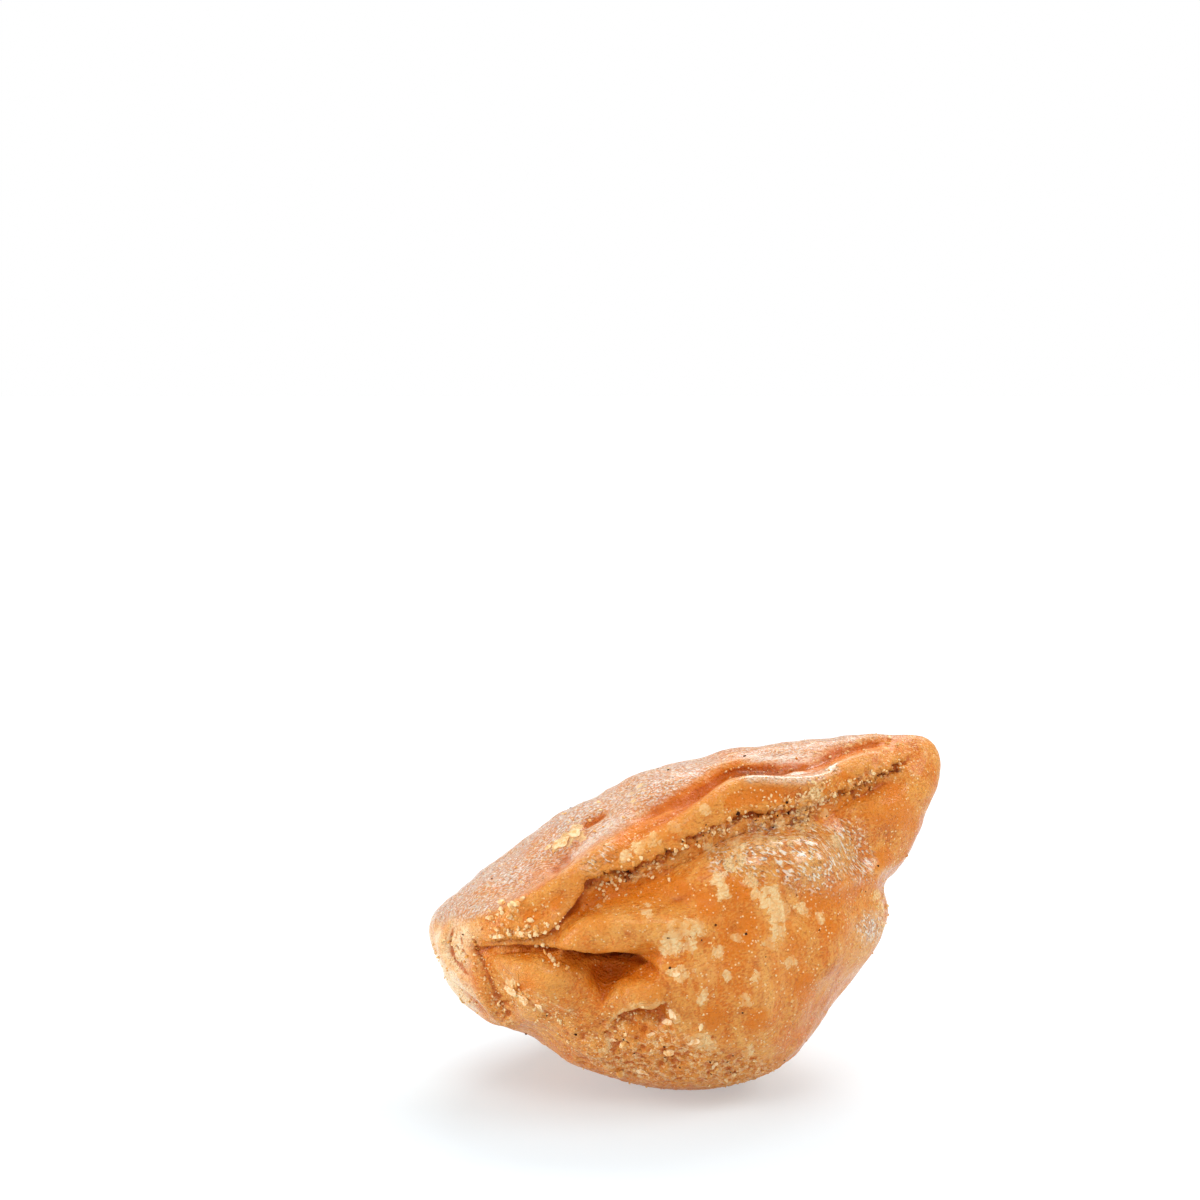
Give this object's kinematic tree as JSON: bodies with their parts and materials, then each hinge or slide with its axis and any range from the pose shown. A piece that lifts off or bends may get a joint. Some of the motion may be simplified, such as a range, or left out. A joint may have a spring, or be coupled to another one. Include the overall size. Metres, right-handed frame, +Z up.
{
  "type": "samosa",
  "caption": "Deep-fried samosa lying on its side: a dough cone with its mouth pinched shut in a rolled seam over a pleat.",
  "frame": {"origin": "on the surface it rests on, under the middle of its bounding box", "axes": "+Z up; the pinched-shut mouth faces -Y; the pinched ear is at +X; the cone's point lies towards +Y"},
  "size_m": [0.0826, 0.0798, 0.0566],
  "materials": {
    "fried_crust": "golden-brown fried dough with a light oily gloss, pale blisters and a crumbly seam"
  },
  "bodies": {
    "root": {"samosa": "fried_crust"}
  },
  "joints": []
}
